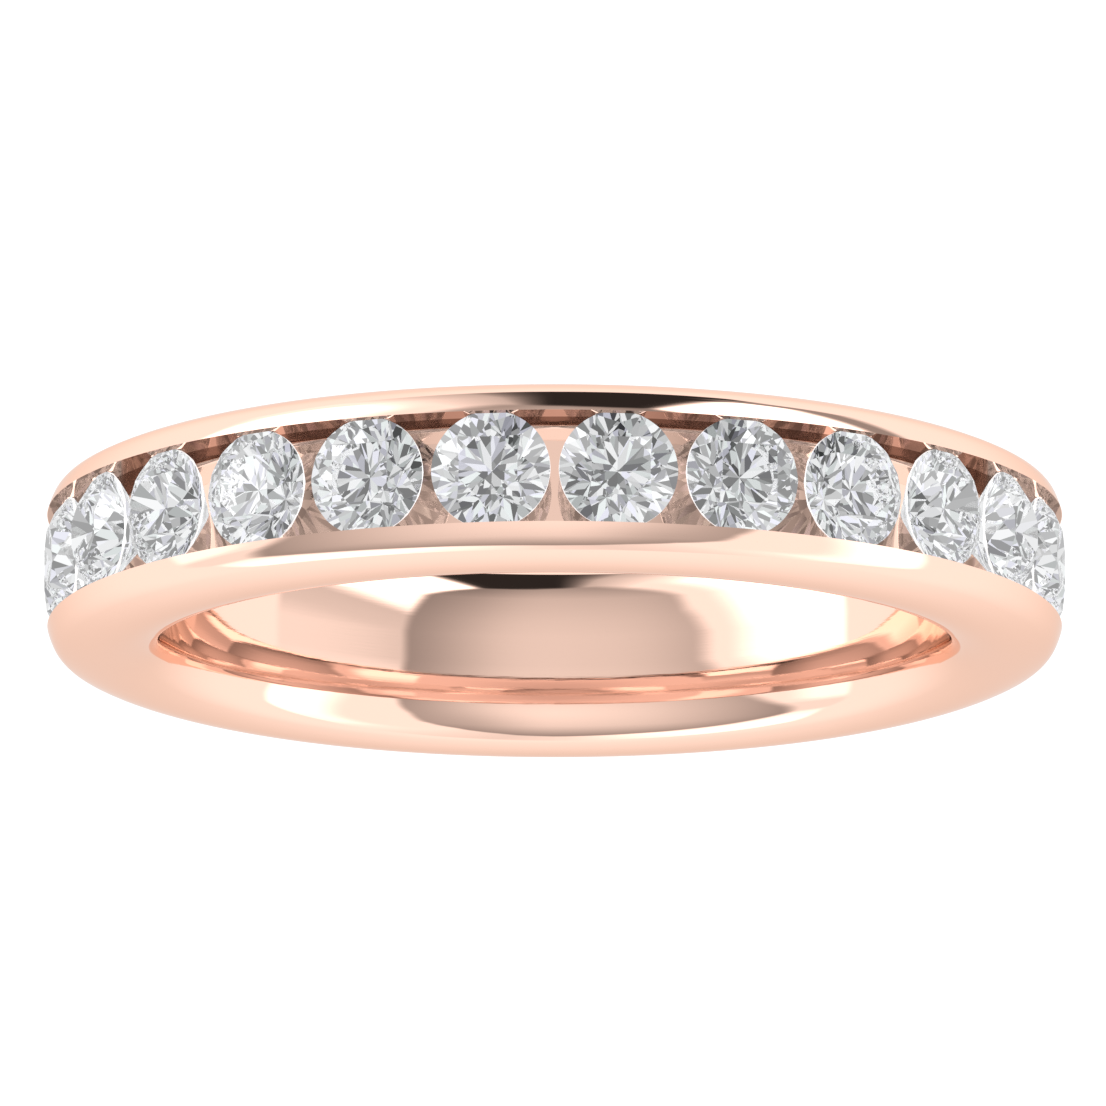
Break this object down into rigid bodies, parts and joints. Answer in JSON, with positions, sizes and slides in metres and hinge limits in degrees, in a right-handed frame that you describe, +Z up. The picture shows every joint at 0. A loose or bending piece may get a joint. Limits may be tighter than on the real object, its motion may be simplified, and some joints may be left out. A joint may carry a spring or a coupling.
{
  "type": "wedding band",
  "caption": "Channel-set full eternity wedding band in polished rose gold, rounded comfort-fit section, with round brilliant stones held between two rails all the way round.",
  "frame": {"origin": "centre of the finger hole, on the mid-plane between the two rails", "axes": "+Y along the finger axis (the ring's axis), +Z up with the ring standing upright and a gap between two stones facing straight up, +X to the right"},
  "size_m": [0.0216, 0.004, 0.0216],
  "materials": {
    "rose_gold": "mirror polished 14 karat rose gold, rhodium free",
    "diamond": "polished facets, colourless, finely ground girdle"
  },
  "bodies": {
    "root": {"band": "rose_gold", "stone_01": "diamond", "stone_02": "diamond", "stone_03": "diamond", "stone_04": "diamond", "stone_05": "diamond", "stone_06": "diamond", "stone_07": "diamond", "stone_08": "diamond", "stone_09": "diamond", "stone_10": "diamond", "stone_11": "diamond", "stone_12": "diamond", "stone_13": "diamond", "stone_14": "diamond", "stone_15": "diamond", "stone_16": "diamond", "stone_17": "diamond", "stone_18": "diamond", "stone_19": "diamond", "stone_20": "diamond", "stone_21": "diamond", "stone_22": "diamond", "stone_23": "diamond", "stone_24": "diamond"}
  },
  "joints": []
}
